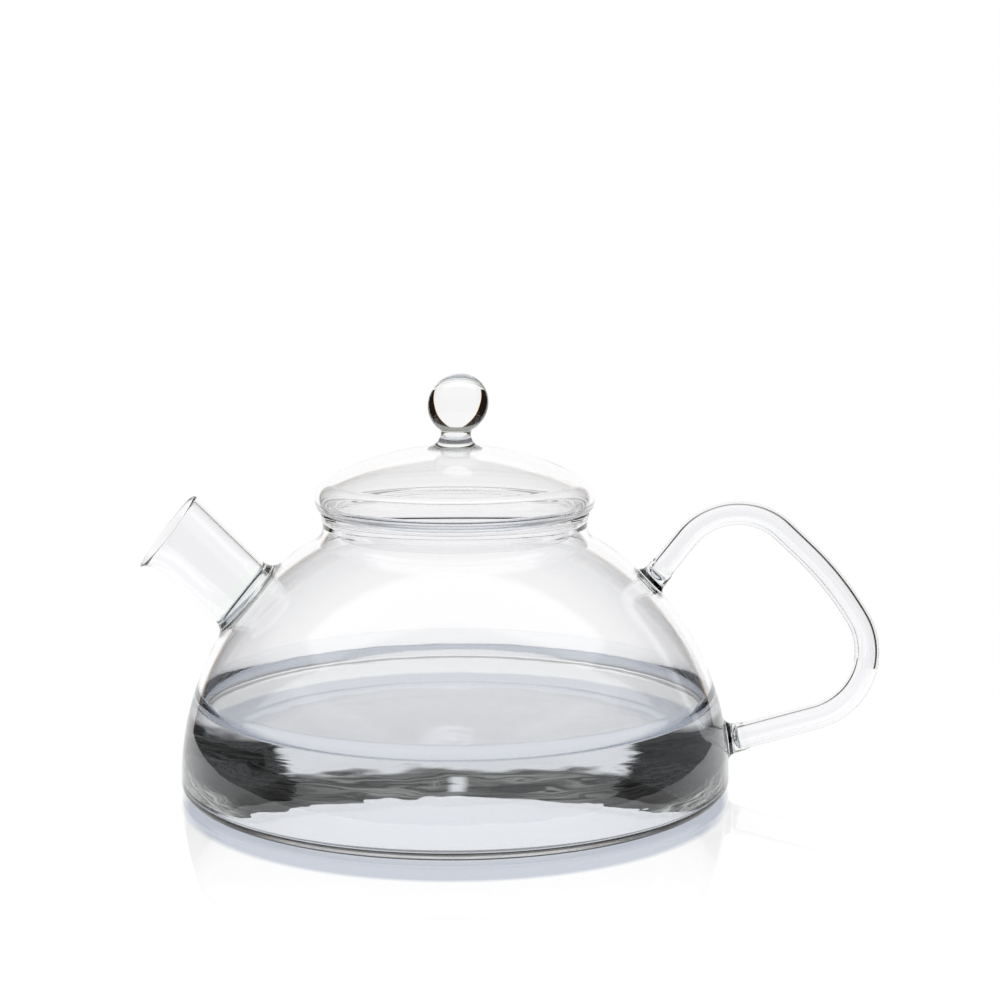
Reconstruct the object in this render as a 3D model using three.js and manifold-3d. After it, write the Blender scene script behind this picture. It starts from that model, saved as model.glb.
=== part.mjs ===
// Hand-blown glass teapot with a straight spout, a bent tube handle and a loose lid.
// Units are millimetres, +Z is up, and the origin is the centre of the underside.
// The spout points along -X and the handle along +X.

import * as THREE from 'three';
import { mergeVertices } from 'three/addons/utils/BufferGeometryUtils.js';
import Module from 'manifold-3d';

const wasm = await Module();
wasm.setup();

// ---- Driving dimensions ----

const GLASS = 2.2; // wall of the blown bowl
const LID_GLASS = 1.6; // wall of the lid and its skirt
const GAP = 0.3; // space left at every fused or resting joint

const DOME_RADIUS = 95.4; // outside of the half-ball bowl
const BASE_CORNER = 3; // outside rounding where the bowl meets the table
const BASE_GLASS = 2.6; // thickness of the flat bottom
const BASE_INNER_CORNER = 4;
const NECK_RADIUS = 45.6; // narrowest outside radius of the neck
const NECK_HEIGHT = 90;
const RIM_BEAD = 1.6; // radius of the fire-rounded rim
const RIM_RADIUS = 46.3; // outside radius of the rim
const RIM_TOP = 95.6;

const LID_RADIUS = 48.25;
const LID_APEX = 117.7;
const LID_DOME = 92.5; // radius of the lid's ball-shaped top
const LID_SHOULDER = 7.5; // radius of the lid's rounded edge
const LID_OPENING = 39.6; // inside radius of the turned-in foot
const SKIRT_TOP_RADIUS = 42.2;
const SKIRT_END_RADIUS = 39.7;
const SKIRT_END = 86.9;

const KNOB_RADIUS = 10.45;
const KNOB_CENTRE = 132.2;
const KNOB_NECK_RADIUS = 5.2;
const KNOB_FLARE = 3.8; // fillet from the lid up into the neck
const KNOB_FOOT_EDGE = 0.2; // thickness of the neck's foot where it ends on the lid
const KNOB_CUP = 5.5; // radius of the neck where it takes the ball
const KNOB_LEAN = 0.08; // sideways lean of the hand-set knob, per unit of height

const SPOUT_ANGLE = THREE.MathUtils.degToRad(45);
const SPOUT_RADIUS = 13.15;
const SPOUT_GLASS = 1.6;
const SPOUT_BELOW_CENTRE = 7.9; // how far the spout's axis passes below the dome's centre
const SPOUT_REACH = 132.2; // along the axis, from beside the dome's centre to the mouth
const LIP_LENGTH = 9;
const LIP_DROP = 4.3;
const LIP_SETBACK = 3.3;
const SPOUT_RING_FLARE = 4.2; // hollow rounding of the fused ring at the spout's root
const SPOUT_RING_EDGE = 0.8; // thickness of the ring where it ends on the tube

const HANDLE_RADIUS = 4.2;
const HANDLE_BORE = 2.8;
const HANDLE_UPPER_FOOT = THREE.MathUtils.degToRad(44.7); // place on the dome, above its centre
const HANDLE_LOWER_FOOT = THREE.MathUtils.degToRad(6.4);
const HANDLE_BENDS = [
  { x: 95.2, z: 105.4, radius: 22.8 },
  { x: 132.1, z: 70.5, radius: 110 },
  { x: 156, z: 30.5, radius: 23.6 },
];
const WELD_HEIGHT = 4.2;
const WELD_RADIUS = 7.4;
const WELD_NECK = 4.7; // radius of the weld under the tube
const WELD_COLLAR = 1; // straight stretch of the weld above its flare

const BOWL_SIDES = 48;
const CUT_SIDES = 96; // a finer dome for cutting its neighbours back
const LID_SIDES = 40;
const SMALL_SIDES = 24;
const TUBE_SIDES = 14;
const TUBE_STEPS = 44;
const CUT_START = 0.9; // share of the dome's radius where a tube starts before it is cut back

// ---- Worked out from the driving dimensions ----

const domeCentre = new THREE.Vector2(0, BASE_CORNER);
const lidSeat = RIM_TOP + GAP;
const lidDomeCentre = new THREE.Vector2(0, LID_APEX - LID_DOME);

// A fillet tangent to the dome and upright at the neck.
const neckRise = NECK_HEIGHT - domeCentre.y;
const neckFillet = (NECK_RADIUS ** 2 + neckRise ** 2 - DOME_RADIUS ** 2) / (2 * (DOME_RADIUS - NECK_RADIUS));
const neckCentre = new THREE.Vector2(NECK_RADIUS + neckFillet, NECK_HEIGHT);

// The lid's edge is a round tangent to the inside of the lid's top.
const shoulderX = LID_RADIUS - LID_SHOULDER;
const shoulderRise = Math.sqrt((LID_DOME - LID_SHOULDER) ** 2 - shoulderX ** 2);
const shoulderCentre = new THREE.Vector2(shoulderX, lidDomeCentre.y + shoulderRise);

// ---- Outlines ----

/** Points on a round stretch, both ends included. Angles are in radians from +X. */
function arc(centre, radius, from, to, steps) {
  const points = [];
  for (let i = 0; i <= steps; i++) {
    const angle = from + ((to - from) * i) / steps;
    points.push(new THREE.Vector2(centre.x + radius * Math.cos(angle), centre.y + radius * Math.sin(angle)));
  }
  return points;
}

/** Angle of the line from one centre to another. */
function heading(from, to) {
  return Math.atan2(to.y - from.y, to.x - from.x);
}

/** Angle at which a circle reaches a height, on its outer side. */
function angleAtHeight(centre, radius, height) {
  return Math.asin((height - centre.y) / radius);
}

// ---- Solids ----

/** Turns an outline (radius, height) about +Z. The outline runs up its outer side. */
function lathe(outline, sides) {
  return new THREE.LatheGeometry(outline, sides).rotateX(Math.PI / 2);
}

function ball(radius, sides, centre = new THREE.Vector3()) {
  return new THREE.SphereGeometry(radius, sides, sides / 2).translate(centre.x, centre.y, centre.z);
}

function rod(radius, from, to, sides) {
  const turned = new THREE.CylinderGeometry(radius, radius, to - from, sides).rotateX(Math.PI / 2);
  return turned.translate(0, 0, (from + to) / 2);
}

/** Makes a solid of a closed geometry, leaving out the triangles that have no area. */
function toSolid(geometry) {
  const bare = geometry.clone();
  bare.deleteAttribute('normal');
  bare.deleteAttribute('uv');
  const merged = mergeVertices(bare);
  const corners = merged.index.array;
  const kept = [];
  for (let i = 0; i < corners.length; i += 3) {
    const [a, b, c] = corners.slice(i, i + 3);
    if (a !== b && b !== c && c !== a) kept.push(a, b, c);
  }
  const vertProperties = Float32Array.from(merged.attributes.position.array);
  return new wasm.Manifold(new wasm.Mesh({ numProp: 3, vertProperties, triVerts: Uint32Array.from(kept) }));
}

function toGeometry(solid) {
  const { vertProperties, triVerts } = solid.getMesh();
  const geometry = new THREE.BufferGeometry();
  geometry.setAttribute('position', new THREE.BufferAttribute(vertProperties, 3));
  geometry.setIndex(new THREE.BufferAttribute(triVerts, 1));
  geometry.computeVertexNormals();
  return geometry;
}

/** Cuts every tool out of a body. */
function cut(body, ...tools) {
  return toGeometry(tools.reduce((rest, tool) => rest.subtract(toSolid(tool)), toSolid(body)));
}

// ---- Frames of the turned groups ----

/** A group whose +Z lies in the XZ plane at an angle above -X or +X. */
function turnedGroup(x, z, pitch) {
  const group = new THREE.Group();
  group.position.set(x, 0, z);
  group.rotation.y = pitch;
  group.updateMatrix();
  return group;
}

/** The dome's outside in a turned group's own frame, grown by the gap. */
function domeSeenFrom(group) {
  const centre = new THREE.Vector3(domeCentre.x, 0, domeCentre.y);
  centre.applyMatrix4(group.matrix.clone().invert());
  return ball(DOME_RADIUS + GAP, CUT_SIDES, centre);
}

const spoutGroup = turnedGroup(
  -SPOUT_BELOW_CENTRE * Math.sin(SPOUT_ANGLE),
  domeCentre.y - SPOUT_BELOW_CENTRE * Math.cos(SPOUT_ANGLE),
  -(Math.PI / 2 - SPOUT_ANGLE),
);

// ---- Sub-parts ----

function bowl() {
  const fillet = heading(neckCentre, domeCentre) + 2 * Math.PI;
  const domeEnd = heading(domeCentre, neckCentre);
  const inside = DOME_RADIUS - GLASS;
  const cornerRise = BASE_GLASS + BASE_INNER_CORNER - domeCentre.y;
  const cornerX = Math.sqrt((inside - BASE_INNER_CORNER) ** 2 - cornerRise ** 2);
  const innerCorner = new THREE.Vector2(cornerX, BASE_GLASS + BASE_INNER_CORNER);
  const innerCornerStart = heading(domeCentre, innerCorner);
  const rimCentre = new THREE.Vector2(RIM_RADIUS - RIM_BEAD, RIM_TOP - RIM_BEAD);
  const outline = [
    new THREE.Vector2(0, 0),
    ...arc(new THREE.Vector2(DOME_RADIUS - BASE_CORNER, BASE_CORNER), BASE_CORNER, -Math.PI / 2, 0, 3),
    ...arc(domeCentre, DOME_RADIUS, 0, domeEnd, 10).slice(1),
    ...arc(neckCentre, neckFillet, fillet, Math.PI, 2).slice(1),
    ...arc(rimCentre, RIM_BEAD, 0, Math.PI, 5),
    ...arc(neckCentre, neckFillet + GLASS, Math.PI, fillet, 2),
    ...arc(domeCentre, inside, domeEnd, innerCornerStart, 10).slice(1),
    ...arc(innerCorner, BASE_INNER_CORNER, innerCornerStart, -Math.PI / 2, 3).slice(1),
    new THREE.Vector2(0, BASE_GLASS),
  ];
  const spoutBore = rod(SPOUT_RADIUS - SPOUT_GLASS, DOME_RADIUS / 2, SPOUT_REACH, SMALL_SIDES);
  return cut(lathe(outline, BOWL_SIDES), spoutBore.applyMatrix4(spoutGroup.matrix));
}

/** Draws the underside of the spout's mouth down and back into a pouring lip. */
function drawLip(geometry) {
  const position = geometry.attributes.position;
  for (let i = 0; i < position.count; i++) {
    const along = position.getZ(i);
    const across = position.getX(i);
    const radius = Math.hypot(across, position.getY(i));
    const underside = ((1 - across / radius) / 2) ** 3;
    const towardsMouth = Math.max(0, 1 - (SPOUT_REACH - along) / LIP_LENGTH) ** 2;
    position.setX(i, across - LIP_DROP * underside * towardsMouth);
    position.setZ(i, along - LIP_SETBACK * ((1 - across / radius) / 2) * towardsMouth);
  }
  return geometry;
}

function spoutTube() {
  const inner = SPOUT_RADIUS - SPOUT_GLASS;
  const mouth = new THREE.Vector2(SPOUT_RADIUS - SPOUT_GLASS / 2, SPOUT_REACH - SPOUT_GLASS / 2);
  const root = DOME_RADIUS * CUT_START;
  const lipRows = [0.25, 0.5, 0.75].map((part) => SPOUT_REACH - LIP_LENGTH * (1 - part));
  const outline = [
    new THREE.Vector2(inner, root),
    new THREE.Vector2(SPOUT_RADIUS, root),
    new THREE.Vector2(SPOUT_RADIUS, SPOUT_REACH - LIP_LENGTH),
    ...lipRows.map((height) => new THREE.Vector2(SPOUT_RADIUS, height)),
    ...arc(mouth, SPOUT_GLASS / 2, 0, Math.PI, 4),
    ...lipRows.reverse().map((height) => new THREE.Vector2(inner, height)),
    new THREE.Vector2(inner, SPOUT_REACH - LIP_LENGTH),
    new THREE.Vector2(inner, root),
  ];
  return cut(drawLip(lathe(outline, SMALL_SIDES)), domeSeenFrom(spoutGroup));
}

/** Height at which the dome's outside meets a point across the spout's own frame. */
function domeMeets(across) {
  return Math.sqrt(DOME_RADIUS ** 2 - (across - SPOUT_BELOW_CENTRE) ** 2);
}

function spoutWeldRing() {
  const top = domeMeets(SPOUT_RADIUS);
  const bottom = domeMeets(-SPOUT_RADIUS);
  const foot = SPOUT_RADIUS + SPOUT_RING_EDGE + SPOUT_RING_FLARE;
  const inner = SPOUT_RADIUS - SPOUT_GLASS;
  const outline = [
    new THREE.Vector2(inner, -SPOUT_RING_FLARE),
    new THREE.Vector2(foot, -SPOUT_RING_FLARE),
    ...arc(new THREE.Vector2(foot, SPOUT_RING_FLARE), SPOUT_RING_FLARE, -Math.PI / 2, -Math.PI, 5),
    new THREE.Vector2(inner, SPOUT_RING_FLARE),
    new THREE.Vector2(inner, -SPOUT_RING_FLARE),
  ];
  const ring = lathe(outline, SMALL_SIDES);
  ring.rotateY(-Math.atan2(top - bottom, 2 * SPOUT_RADIUS));
  ring.translate(0, 0, (top + bottom) / 2);
  const clearTube = rod(SPOUT_RADIUS + GAP, DOME_RADIUS / 2, SPOUT_REACH, 2 * SMALL_SIDES);
  return cut(ring, domeSeenFrom(spoutGroup), clearTube);
}

/** Where a handle foot stands on the dome's outside. */
function footOnDome(angle) {
  const x = DOME_RADIUS * Math.cos(angle);
  return new THREE.Vector2(x, domeCentre.y + DOME_RADIUS * Math.sin(angle));
}

const upperFoot = footOnDome(HANDLE_UPPER_FOOT);
const lowerFoot = footOnDome(HANDLE_LOWER_FOOT);
const bends = HANDLE_BENDS.map((bend) => new THREE.Vector2(bend.x, bend.z));

/** Moves from a foot towards a bend by a distance. */
function outFrom(foot, bend, distance) {
  return foot.clone().add(bend.clone().sub(foot).setLength(distance));
}

/** Adds a straight run and a round bend to the handle's centre line. */
function addBend(path, before, corner, after, radius) {
  const back = before.clone().sub(corner).normalize();
  const ahead = after.clone().sub(corner).normalize();
  const half = back.angleTo(ahead) / 2;
  const centre = corner.clone().add(back.clone().add(ahead).setLength(radius / Math.sin(half)));
  const start = corner.clone().add(back.setLength(radius / Math.tan(half)));
  const end = corner.clone().add(ahead.setLength(radius / Math.tan(half)));
  path.lineTo(start.x, start.y);
  path.absarc(centre.x, centre.y, radius, heading(centre, start), heading(centre, end), true);
}

function handleTube() {
  const start = outFrom(upperFoot, bends[0], WELD_HEIGHT + GAP);
  const end = outFrom(lowerFoot, bends[2], WELD_HEIGHT + GAP);
  const corners = [start, ...bends, end];
  const path = new THREE.Path().moveTo(start.x, start.y);
  HANDLE_BENDS.forEach((bend, i) => addBend(path, corners[i], corners[i + 1], corners[i + 2], bend.radius));
  path.lineTo(end.x, end.y);
  const centreLine = path.getSpacedPoints(TUBE_STEPS).map((point) => new THREE.Vector3(point.x, 0, point.y));
  const section = new THREE.Shape().absarc(0, 0, HANDLE_RADIUS, 0, 2 * Math.PI, false);
  section.holes.push(new THREE.Path().absarc(0, 0, HANDLE_BORE, 0, 2 * Math.PI, true));
  return new THREE.ExtrudeGeometry(section, {
    steps: TUBE_STEPS,
    curveSegments: TUBE_SIDES / 2,
    extrudePath: new THREE.CatmullRomCurve3(centreLine),
  });
}

/** A flared foot of glass that fuses one end of the handle to the dome. */
function handleWeld(name, foot, bend) {
  const outward = bend.clone().sub(foot);
  const group = turnedGroup(foot.x, foot.y, Math.atan2(outward.x, outward.y));
  const flare = WELD_RADIUS - WELD_NECK;
  const outline = [
    new THREE.Vector2(0, -WELD_HEIGHT),
    new THREE.Vector2(WELD_RADIUS, -WELD_HEIGHT),
    ...arc(new THREE.Vector2(WELD_RADIUS, WELD_HEIGHT - WELD_COLLAR), flare, -Math.PI / 2, -Math.PI, 4),
    new THREE.Vector2(WELD_NECK, WELD_HEIGHT),
    new THREE.Vector2(0, WELD_HEIGHT),
  ];
  group.add(part(name, cut(lathe(outline, SMALL_SIDES), domeSeenFrom(group)), weldGlass));
  return group;
}

function lidShell() {
  const tangent = heading(lidDomeCentre, shoulderCentre);
  const innerShoulder = LID_SHOULDER - LID_GLASS;
  const floor = lidSeat + LID_GLASS;
  const outline = [
    new THREE.Vector2(LID_OPENING, lidSeat),
    ...arc(shoulderCentre, LID_SHOULDER, angleAtHeight(shoulderCentre, LID_SHOULDER, lidSeat), tangent, 7),
    ...arc(lidDomeCentre, LID_DOME, tangent, Math.PI / 2, 6).slice(1),
    ...arc(lidDomeCentre, LID_DOME - LID_GLASS, Math.PI / 2, tangent, 6),
    ...arc(shoulderCentre, innerShoulder, tangent, angleAtHeight(shoulderCentre, innerShoulder, floor), 5).slice(1),
    new THREE.Vector2(LID_OPENING, floor),
    new THREE.Vector2(LID_OPENING, lidSeat),
  ];
  return lathe(outline, LID_SIDES);
}

function lidSkirt() {
  const top = lidSeat - GAP;
  const end = new THREE.Vector2(SKIRT_END_RADIUS - LID_GLASS / 2, SKIRT_END + LID_GLASS / 2);
  const outline = [
    ...arc(end, LID_GLASS / 2, -Math.PI, 0, 6),
    new THREE.Vector2(SKIRT_TOP_RADIUS, top),
    new THREE.Vector2(SKIRT_TOP_RADIUS - LID_GLASS, top),
    new THREE.Vector2(SKIRT_END_RADIUS - LID_GLASS, SKIRT_END + LID_GLASS / 2),
  ];
  return lathe(outline, LID_SIDES);
}

/** Leans the hand-set knob towards the handle. */
function leanKnob(geometry) {
  return geometry.applyMatrix4(
    new THREE.Matrix4().set(1, 0, KNOB_LEAN, -KNOB_LEAN * LID_APEX, 0, 1, 0, 0, 0, 0, 1, 0, 0, 0, 0, 1),
  );
}

function knobNeck() {
  const onDome = LID_DOME + GAP;
  const foot = KNOB_NECK_RADIUS + KNOB_FLARE;
  const underBall = KNOB_RADIUS + GAP;
  const ballCentre = new THREE.Vector2(0, KNOB_CENTRE);
  const footTop = lidDomeCentre.y + Math.sqrt(onDome ** 2 - foot ** 2) + KNOB_FOOT_EDGE;
  const flareCentre = new THREE.Vector2(foot, footTop + KNOB_FLARE);
  const outline = [
    ...arc(lidDomeCentre, onDome, Math.PI / 2, Math.acos(foot / onDome), 3),
    ...arc(flareCentre, KNOB_FLARE, -Math.PI / 2, -Math.PI, 6),
    ...arc(ballCentre, underBall, -Math.acos(KNOB_CUP / underBall), -Math.PI / 2, 4),
  ];
  return leanKnob(lathe(outline, SMALL_SIDES));
}

function knobBall() {
  const poles = ball(KNOB_RADIUS, SMALL_SIDES).rotateX(Math.PI / 2);
  return leanKnob(poles.translate(0, 0, KNOB_CENTRE));
}

// ---- Materials ----

function clearGlass(color, roughness, opacity) {
  return new THREE.MeshStandardMaterial({ color, roughness, metalness: 0, transparent: true, opacity });
}

const blownGlass = clearGlass(0xe9ebf3, 0.03, 0.35);
const tubeGlass = clearGlass(0xe4e7f0, 0.03, 0.4);
const weldGlass = clearGlass(0xc9d2cd, 0.06, 0.6);
const knobGlass = clearGlass(0xdfe3ea, 0.02, 0.5);

// ---- Assembly ----

function part(name, geometry, material) {
  const mesh = new THREE.Mesh(geometry, material.clone());
  mesh.name = name;
  return mesh;
}

const pot = new THREE.Group();
pot.add(part('bowl', bowl(), blownGlass));
spoutGroup.add(part('spout_tube', spoutTube(), tubeGlass));
spoutGroup.add(part('spout_weld_ring', spoutWeldRing(), weldGlass));
pot.add(spoutGroup);
pot.add(part('handle_tube', handleTube(), tubeGlass));
pot.add(handleWeld('handle_weld_upper', upperFoot, bends[0]));
pot.add(handleWeld('handle_weld_lower', lowerFoot, bends[2]));

const lid = new THREE.Group();
lid.add(part('lid_shell', lidShell(), blownGlass));
lid.add(part('lid_skirt', lidSkirt(), blownGlass));
lid.add(part('knob_neck', knobNeck(), knobGlass));
lid.add(part('knob_ball', knobBall(), knobGlass));

const teapot = new THREE.Group();
teapot.add(pot, lid);

export default teapot;
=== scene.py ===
"""Looks of the glass teapot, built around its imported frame.

Units are metres. +Z is up, the spout points along -X and the handle along +X. Each glass piece is one
closed skin made from round outlines and bent tubes. Where two pieces are fused, both carry the same
hidden face, and light passes it without bending, as it does inside one piece of glass.
"""

import math

import bpy
import numpy as np
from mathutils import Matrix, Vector
from mathutils.geometry import delaunay_2d_cdt


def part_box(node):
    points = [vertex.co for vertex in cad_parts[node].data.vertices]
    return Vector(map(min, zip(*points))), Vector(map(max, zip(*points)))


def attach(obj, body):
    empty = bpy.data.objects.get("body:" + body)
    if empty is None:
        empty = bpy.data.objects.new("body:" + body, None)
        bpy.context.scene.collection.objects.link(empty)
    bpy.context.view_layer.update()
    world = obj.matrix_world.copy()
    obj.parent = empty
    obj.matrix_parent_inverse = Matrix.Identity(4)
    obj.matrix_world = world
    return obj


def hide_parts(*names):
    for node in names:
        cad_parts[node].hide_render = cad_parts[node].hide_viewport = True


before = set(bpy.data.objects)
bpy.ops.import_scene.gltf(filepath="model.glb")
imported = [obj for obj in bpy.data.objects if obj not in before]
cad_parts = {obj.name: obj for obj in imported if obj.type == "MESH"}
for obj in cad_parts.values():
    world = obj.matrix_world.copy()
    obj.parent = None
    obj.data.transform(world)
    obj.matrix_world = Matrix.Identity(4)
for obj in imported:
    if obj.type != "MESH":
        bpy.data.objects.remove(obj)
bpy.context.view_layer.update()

MM = 0.001

# ---- Sizes, from the frame where it holds them ----

bowl_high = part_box("bowl")[1]
lid_low, lid_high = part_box("lid_shell")
skirt_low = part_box("lid_skirt")[0]
ball_low, ball_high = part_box("knob_ball")

WALL = 2.2 * MM
DOME = bowl_high.x
BASE_CORNER = 3.0 * MM
BASE_GLASS = 2.0 * MM
BASE_INNER_CORNER = 3.0 * MM
FOOT_EDGE = math.radians(-40)  # the nearly black glass on the low edge of the outside corner, painted shade, ends here
NECK = 45.6 * MM
NECK_HEIGHT = 90.0 * MM
RIM_BEAD = 1.2 * MM
BEAD_START = math.radians(-15)
BEAD_END = math.radians(190)
RIM_TOP = 95.6 * MM
RIM = 46.3 * MM

LID_SEAT = lid_low.z
LID_APEX = lid_high.z
LID = 48.25 * MM
LID_DOME = 92.5 * MM
LID_SHOULDER = 7.5 * MM
LID_WALL = 1.6 * MM
SHOULDER_START = math.radians(-22)
SEAT_ROUNDING = 1.8 * MM
INNER_SHOULDER_END = math.radians(-4)
INNER_FOLD = 1.6 * MM
INNER_SEAT = 0.9 * MM
SKIRT_END = skirt_low.z
SKIRT_TOP_RADIUS = 42.2 * MM
SKIRT_END_RADIUS = 39.7 * MM
SKIRT_ROUND = 1.2 * MM
SKIRT_RIM = 0.5 * MM

BALL = (ball_high.y - ball_low.y) / 2
BALL_CENTRE = (ball_high.z + ball_low.z) / 2
BALL_SIDE = (ball_high.x + ball_low.x) / 2
KNOB_NECK = 5.2 * MM
KNOB_CUP = 5.5 * MM  # radius of the hollow in the neck where the ball sits
CUP_WAY = (0.5, 0.86)  # the way the neck runs where it meets the ball
KNOB_FLARE = 5.2 * MM

SPOUT_ANGLE = math.radians(45)
SPOUT = 13.15 * MM
SPOUT_WALL = 1.6 * MM
SPOUT_BELOW_CENTRE = 7.9 * MM
SPOUT_REACH = 132.2 * MM
SPOUT_FILLET = 4.6 * MM
SPOUT_INNER_FILLET = 1.4 * MM
SPOUT_RING_ABOVE = 1.2 * MM  # the weld ring goes on this far beyond its rounding
LIP_LENGTH = 16 * MM
LIP_DROP = 4.8 * MM
LIP_SETBACK = 3.3 * MM
MOUTH_TURN = 0.13  # the slope that turns the mouth to the camera
MOUTH_CURVE = 2.5  # how late the lip leaves the tube

TUBE = 4.1 * MM
TUBE_THICKENING = 0.45 * MM
THICKENING_START = 0.55  # share of the handle's length
THICKENING_LENGTH = 0.25
BORE_SHARE = 0.69
UPPER_FOOT = math.radians(44.7)
LOWER_FOOT = math.radians(6.4)
BENDS = [  # a corner of the centre line in the XZ plane, and the radius that rounds it
    (np.array([95.2, 105.4]) * MM, 22.8 * MM),
    (np.array([132.1, 70.5]) * MM, 110.0 * MM),
    (np.array([156.0, 30.5]) * MM, 23.6 * MM),
]
WELD_HEIGHT = 5.2 * MM
WELD_FLOOR = 2.0 * MM  # glass below the end of the bore
WELD_ROWS = 8
COLLAR = 0.5 * MM
COLLAR_LENGTH = 1.3 * MM
UPPER_WELD = TUBE + 0.5 * MM
LOWER_WELD = TUBE + 1.0 * MM
UPPER_WELD_FILLET = 3.0 * MM
LOWER_WELD_FILLET = 3.6 * MM

WATER_LEVEL = 29.6 * MM
MENISCUS = 5.9 * MM
MENISCUS_WIDTH = 1.4 * MM
WATER_GAP = 0.02 * MM  # the water's skin stops this far inside the glass

GLASS_IOR = 1.47
WATER_IOR = 1.333

ROUND_COLUMNS = 192
SMALL_COLUMNS = 96
# Distances between the points of an outline
FLAT_STEP = 3.0 * MM
STEP = 1.3 * MM
FINE_STEP = 0.6 * MM
CORNER_STEP = 0.5 * MM
BEAD_STEP = 0.35 * MM
EDGE_STEP = 0.3 * MM
LIP_STEP = 0.2 * MM

# ---- Round outlines: rows of radius, height and outward normal ----


def arc(centre, radius, start, end, step=STEP):
    """A round stretch. Its outward side is on the right of the way it runs."""
    count = max(3, int(math.ceil(abs(end - start) * radius / step)) + 1)
    angle = np.linspace(start, end, count)
    turn = np.stack([np.cos(angle), np.sin(angle)], 1)
    return np.hstack([np.asarray(centre) + radius * turn, math.copysign(1, end - start) * turn])


def bridge(start, start_way, end, end_way, count=8):
    """A smooth stretch between two points that leaves and arrives in the given directions."""
    start, end = np.asarray(start, float), np.asarray(end, float)
    reach = np.linalg.norm(end - start)
    a, b = np.asarray(start_way, float) * reach, np.asarray(end_way, float) * reach
    t = np.linspace(0, 1, count)[:, None]
    point = (2 * t**3 - 3 * t**2 + 1) * start + (t**3 - 2 * t**2 + t) * a
    point = point + (3 * t**2 - 2 * t**3) * end + (t**3 - t**2) * b
    way = (6 * t**2 - 6 * t) * start + (3 * t**2 - 4 * t + 1) * a + (6 * t - 6 * t**2) * end
    way = way + (3 * t**2 - 2 * t) * b
    way /= np.linalg.norm(way, axis=1)[:, None]
    return np.hstack([point, way[:, 1:], -way[:, :1]])


def straight(start, end, step=STEP):
    start, end = np.asarray(start, float), np.asarray(end, float)
    length = np.linalg.norm(end - start)
    t = np.linspace(0, 1, max(2, int(length / step) + 1))[:, None]
    way = (end - start) / length
    return np.hstack([start + t * (end - start), np.tile([way[1], -way[0]], (len(t), 1))])


def joined(*stretches):
    """Stretches that follow on, with the shared points kept once."""
    return np.vstack([stretches[0]] + [stretch[1:] for stretch in stretches[1:]])


def heading(start, end):
    return math.atan2(end[1] - start[1], end[0] - start[0])


def revolve(outline, columns=ROUND_COLUMNS):
    """Points and normals of an outline turned about +Z, as rows by columns."""
    turn = np.arange(columns) * 2 * math.pi / columns
    c, s = np.cos(turn)[None, :], np.sin(turn)[None, :]
    r, z, nr, nz = (outline[:, i : i + 1] for i in range(4))
    flat = np.ones_like(c)
    return np.stack([r * c, r * s, z * flat], 2), np.stack([nr * c, nr * s, nz * flat], 2)


# ---- Skins ----


class Skin:
    """Collects stretches of surface with exact normals and closes them into one mesh."""

    SAME_POINT = 2e-6  # points on one step of this grid are the same point
    GRID_SHIFT = 0.37  # keeps the steps' borders away from round numbers

    def __init__(self):
        self.points, self.normals, self.faces, self.slots, self.count = [], [], [], [], 0

    def add(self, points, normals, faces, slot):
        self.points.append(np.reshape(points, (-1, 3)))
        self.normals.append(np.reshape(normals, (-1, 3)))
        self.faces += [[self.count + i for i in face] for face in faces]
        self.slots += [slot] * len(faces)
        self.count += len(self.points[-1])

    def strip(self, surface, slot, skip=None):
        """A grid of rows by columns that closes on itself round the columns."""
        points, normals = surface
        rows, columns = points.shape[:2]
        faces = []
        for i in range(rows - 1):
            for j in range(columns):
                if skip is not None and skip[i, j]:
                    continue
                k = (j + 1) % columns
                faces.append((i * columns + j, i * columns + k, (i + 1) * columns + k, (i + 1) * columns + j))
        self.add(points, normals, faces, slot)

    def shaped_strip(self, points, slot):
        """A strip whose normals come from its own shape."""
        self.strip((points, grid_normals(points)), slot)

    def fused_strip(self, points):
        """A strip of hidden face. Light passes it unbent, so its normals only have to be there."""
        self.strip((points, np.tile([0.0, 0.0, 1.0], points.shape[:2] + (1,))), fused)

    def merged(self, points):
        """One point for each place, and which of them every collected point has become."""
        keys = np.round(points / self.SAME_POINT + self.GRID_SHIFT).astype(np.int64)
        _, first, where = np.unique(keys, axis=0, return_index=True, return_inverse=True)
        return points[first], where.ravel()

    def build(self, name, body, replaced, materials):
        normals = np.vstack(self.normals)
        vertices, where = self.merged(np.vstack(self.points))
        faces, corner_normals, indices = [], [], []
        for face, material in zip(self.faces, self.slots):
            kept = []
            for corner in face:
                if where[corner] not in [where[k] for k in kept]:
                    kept.append(corner)
            if len(kept) > 2:
                faces.append([int(where[k]) for k in kept])
                corner_normals += [normals[k] for k in kept]
                indices.append(materials.index(material))
        open_edges = count_open_edges(faces)
        if open_edges:
            raise ValueError(f"{name} has {open_edges} open edges")
        mesh = bpy.data.meshes.new(name)
        mesh.from_pydata(vertices.tolist(), [], faces)
        mesh.polygons.foreach_set("use_smooth", [True] * len(faces))
        mesh.polygons.foreach_set("material_index", indices)
        for material in materials:
            mesh.materials.append(material)
        mesh.update()
        mesh.normals_split_custom_set([tuple(n) for n in corner_normals])
        piece = bpy.data.objects.new(name, mesh)
        bpy.context.scene.collection.objects.link(piece)
        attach(piece, body)
        if replaced:
            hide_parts(*replaced)


def count_open_edges(faces):
    uses = {}
    for face in faces:
        for a, b in zip(face, face[1:] + face[:1]):
            uses[(a, b)] = uses.get((a, b), 0) + 1
    return sum(1 for (a, b), n in uses.items() if uses.get((b, a), 0) != n)


def distance_along(points):
    """How far along a run of points each of them is."""
    steps = np.linalg.norm(np.diff(points, axis=0), axis=1)
    return np.concatenate([[0], np.cumsum(steps)])


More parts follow.
